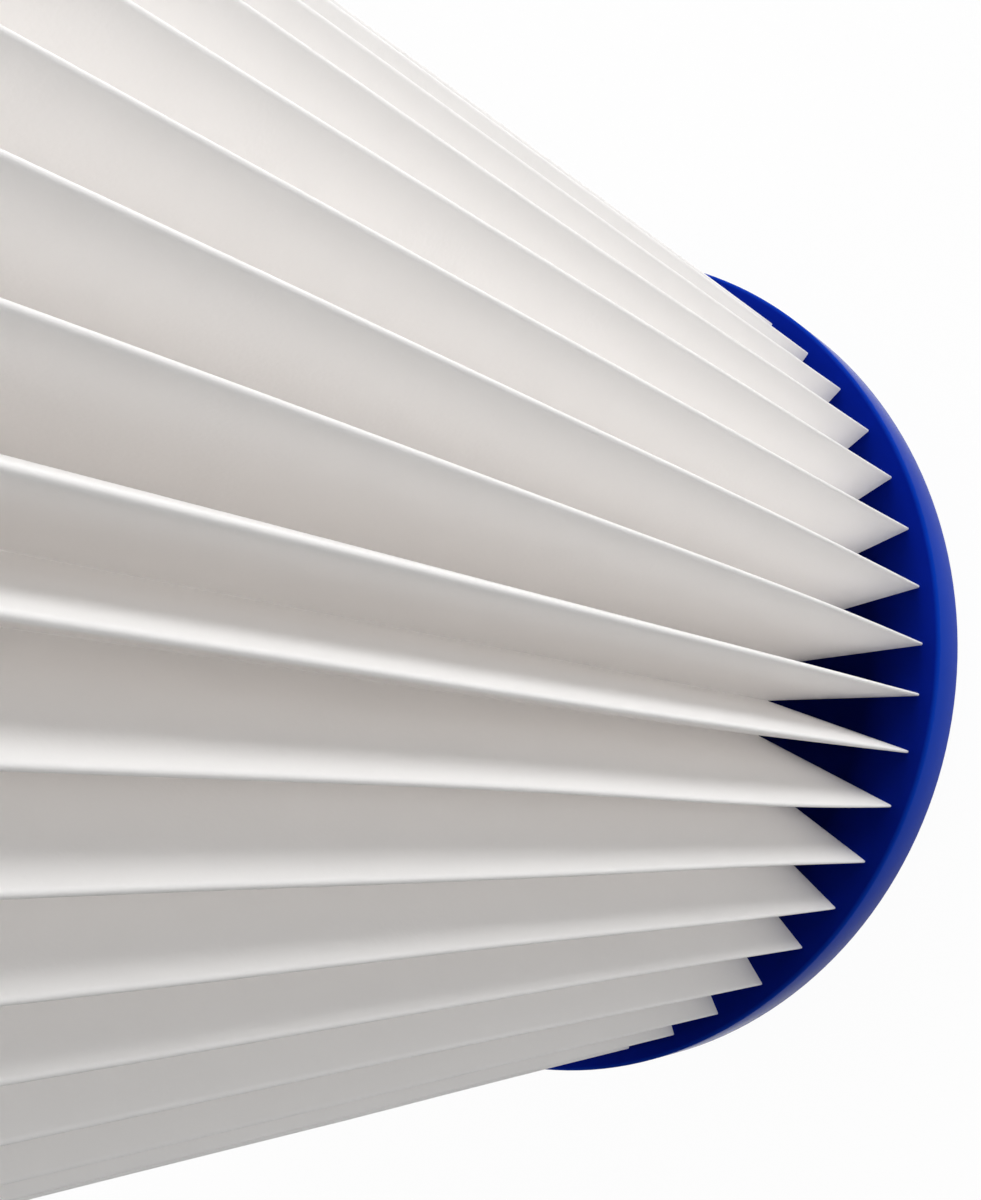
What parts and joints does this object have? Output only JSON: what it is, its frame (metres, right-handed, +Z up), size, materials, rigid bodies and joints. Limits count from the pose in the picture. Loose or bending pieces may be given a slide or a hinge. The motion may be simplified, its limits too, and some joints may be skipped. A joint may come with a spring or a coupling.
{
  "type": "pool filter cartridge",
  "caption": "Upright cylindrical pool filter cartridge: a white pleated filter sheet set in two blue ring-shaped end caps round a slotted core tube.",
  "frame": {"origin": "centre of the lower end cap's outer face, on the cartridge's axis", "axes": "+Z up along the cartridge's axis, from the lower to the upper end cap; +X through the crest of one pleat"},
  "size_m": [0.108, 0.108, 0.203],
  "materials": {
    "cap_plastic": "smooth moulded royal blue, satin sheen",
    "filter_sheet": "matt off-white nonwoven polyester",
    "core_plastic": "matt white moulded plastic"
  },
  "bodies": {
    "root": {"end_cap_bottom": "cap_plastic", "end_cap_top": "cap_plastic", "pleat_pack": "filter_sheet", "core_tube": "core_plastic"}
  },
  "joints": []
}
